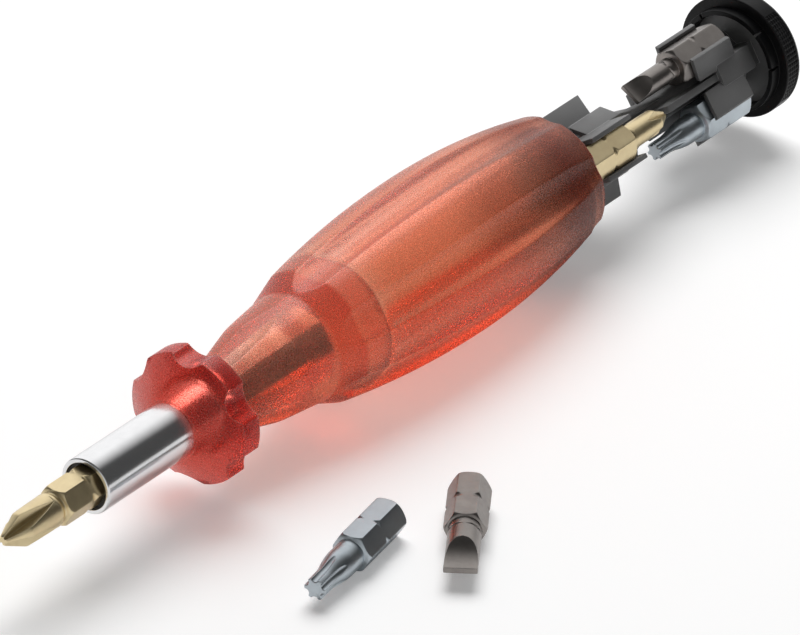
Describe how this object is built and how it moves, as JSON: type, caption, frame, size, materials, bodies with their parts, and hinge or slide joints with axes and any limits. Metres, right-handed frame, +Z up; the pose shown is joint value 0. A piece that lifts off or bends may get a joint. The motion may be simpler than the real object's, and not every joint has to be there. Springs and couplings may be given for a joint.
{
  "type": "pocket screwdriver",
  "caption": "Pocket screwdriver with a fluted translucent handle, a magnetic bit holder at its nose and a clip magazine of spare bits that slides out of its rear.",
  "frame": {"origin": "on the tool's axis at the handle's nose, where the steel sleeve leaves it", "axes": "+X along the tool from the nose to the end cap, so the tip points to -X; +Z up from the table the tool lies on"},
  "size_m": [0.2059, 0.0694, 0.0292],
  "materials": {
    "handle": "frosted, translucent",
    "steel": "polished",
    "steel_dark": "plain",
    "black": "satin",
    "gold_steel": "pale gold coating",
    "dark_steel": "dark oxide",
    "blue_steel": "bright, bluish"
  },
  "bodies": {
    "grip": {"handle": "handle", "bit_sleeve": "steel", "hex_socket": "steel_dark", "holder_magnet": "steel_dark", "anchor_shank": "steel_dark"},
    "carrier": {"magazine": "black", "end_cap": "black"},
    "cross_large": {"bit_cross_large": "gold_steel"},
    "cross_small": {"bit_cross_small": "gold_steel"},
    "blade_narrow": {"bit_blade_narrow": "dark_steel"},
    "star_small": {"bit_star_small": "blue_steel"},
    "star_large": {"bit_star_large": "blue_steel"},
    "blade_wide": {"bit_blade_wide": "dark_steel"}
  },
  "joints": [
    {"name": "magazine_slide", "type": "slide", "parent": "grip", "child": "carrier", "axis": [1, 0, 0], "range_m": [-0.0545, 0]},
    {"name": "cross_large_pull", "type": "slide", "parent": "grip", "child": "cross_large", "axis": [-1, 0, 0], "range_m": [0, 0.012]},
    {"name": "cross_small_unclip", "type": "slide", "parent": "carrier", "child": "cross_small", "axis": [0, -0.866, 0.5], "range_m": [0, 0.008]},
    {"name": "blade_narrow_unclip", "type": "slide", "parent": "carrier", "child": "blade_narrow", "axis": [0, 0, 1], "range_m": [0, 0.008]},
    {"name": "star_small_unclip", "type": "slide", "parent": "carrier", "child": "star_small", "axis": [0, -0.866, -0.5], "range_m": [0, 0.008]},
    {"name": "star_large_lift", "type": "slide", "parent": "grip", "child": "star_large", "axis": [0, 0, 1], "range_m": [0, 0.03]},
    {"name": "blade_wide_lift", "type": "slide", "parent": "grip", "child": "blade_wide", "axis": [0, 0, 1], "range_m": [0, 0.03]}
  ]
}
